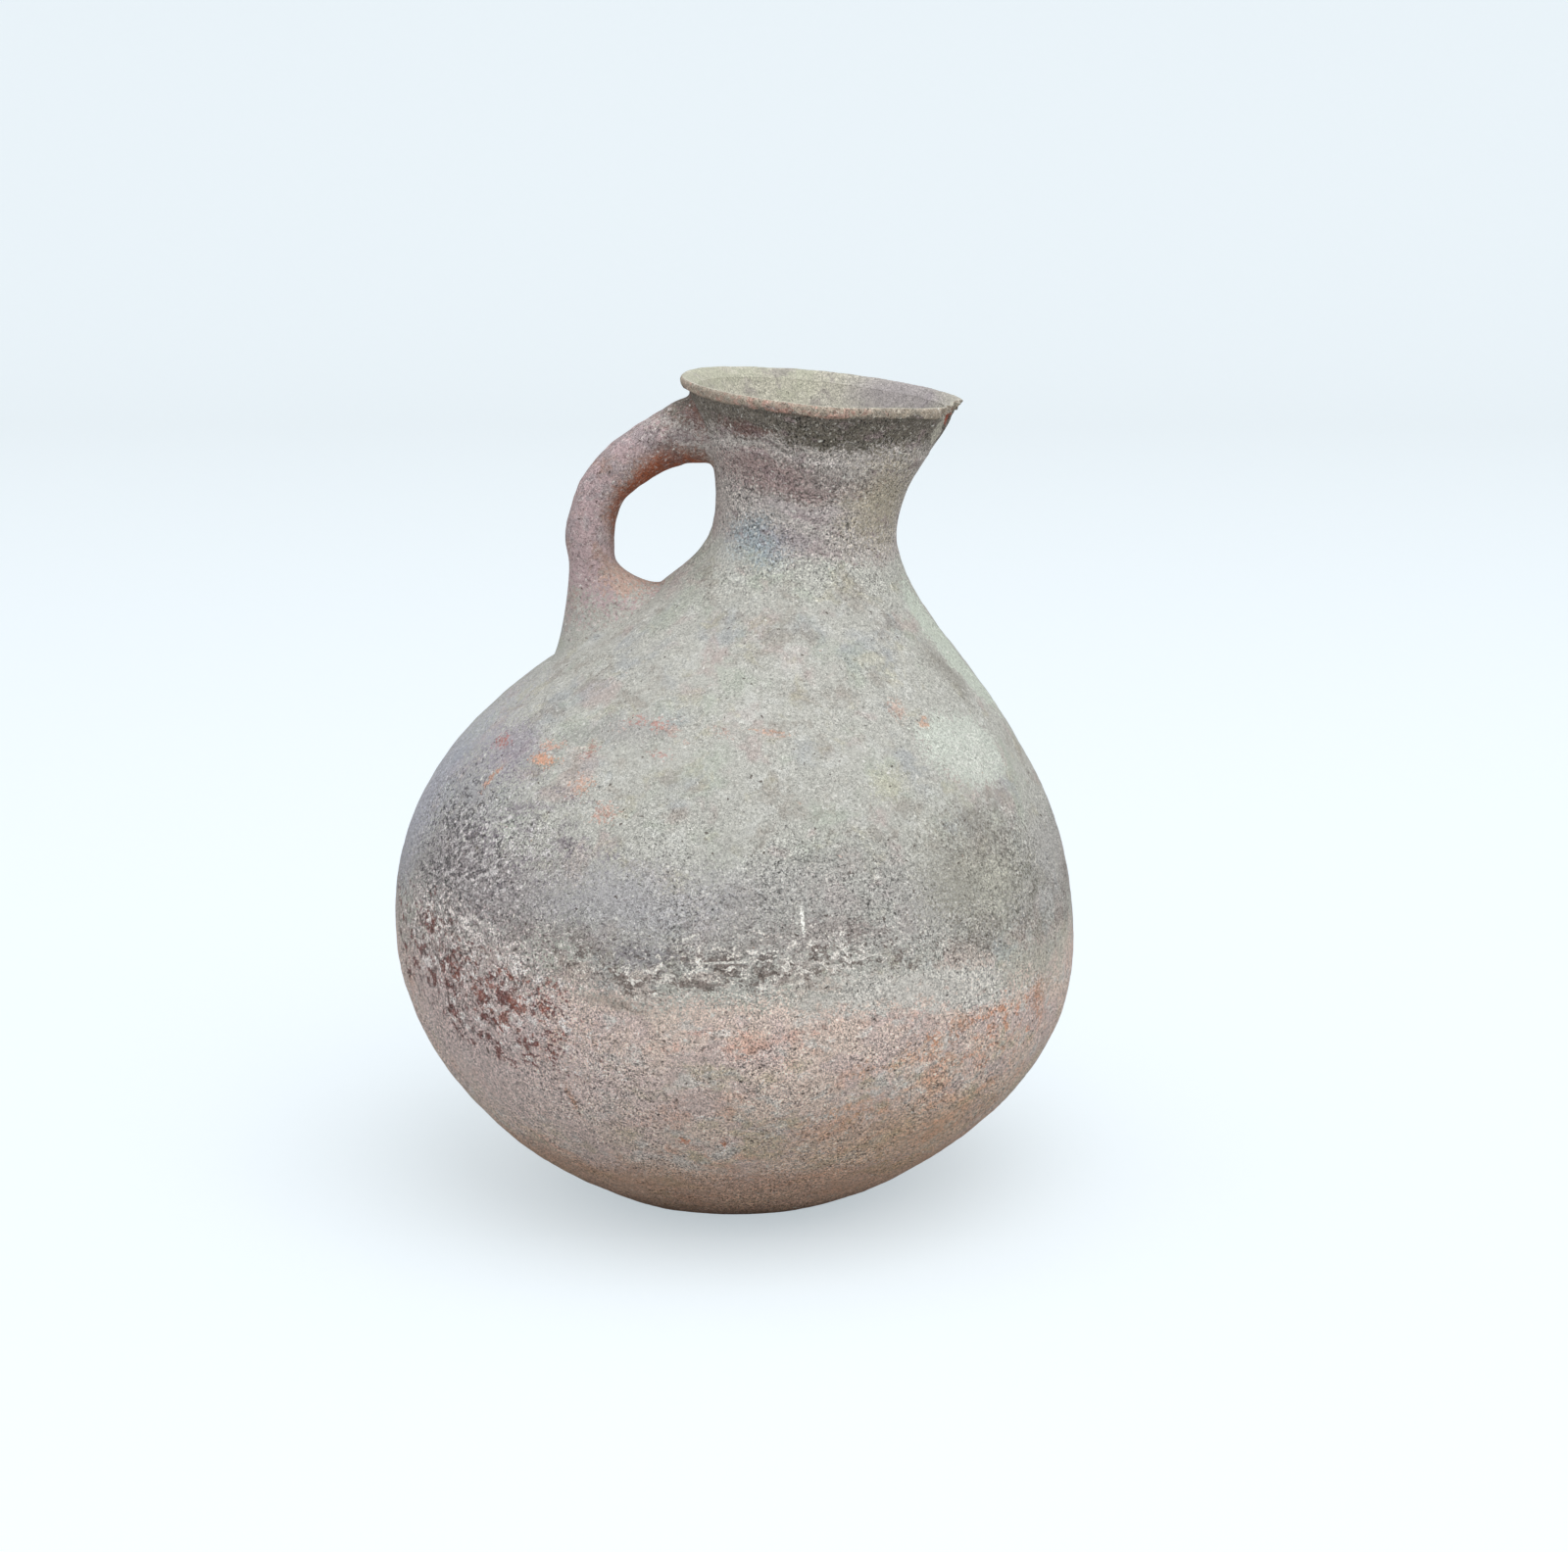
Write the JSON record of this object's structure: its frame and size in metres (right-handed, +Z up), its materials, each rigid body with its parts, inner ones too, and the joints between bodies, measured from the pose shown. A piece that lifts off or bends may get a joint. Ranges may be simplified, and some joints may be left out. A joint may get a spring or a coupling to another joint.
{
  "type": "terracotta jug",
  "caption": "Hand-built round-bodied clay jug with a leaning flared neck, a pinched mouth with a rolled rim, and one loop handle on smeared clay pads.",
  "frame": {"origin": "middle of the flat underside of the base, on the surface that the jug stands on", "axes": "+Z up, +X towards the pouring side of the mouth, -X towards the handle, -Y towards the viewer of the picture"},
  "size_m": [0.2743, 0.2738, 0.3303],
  "materials": {
    "red_clay": "unglazed pinkish-orange fired clay, pitted and dusty",
    "smoked_clay": "unglazed clay darkened by smoke and soil, matt",
    "buff_clay": "unglazed warm grey-beige clay with a thin lime film, matt",
    "mauve_clay": "unglazed mauve-pink clay rubbed smooth by hands"
  },
  "bodies": {
    "root": {"base_disc": "red_clay", "heel_course": "red_clay", "lower_bowl": "red_clay", "belly_course": "smoked_clay", "shoulder_course": "smoked_clay", "crown_course": "buff_clay", "neck_ring": "smoked_clay", "mouth_flare": "smoked_clay", "rim_roll": "buff_clay", "handle_upper_pad": "mauve_clay", "handle_rod": "mauve_clay", "handle_lower_pad": "mauve_clay"}
  },
  "joints": []
}
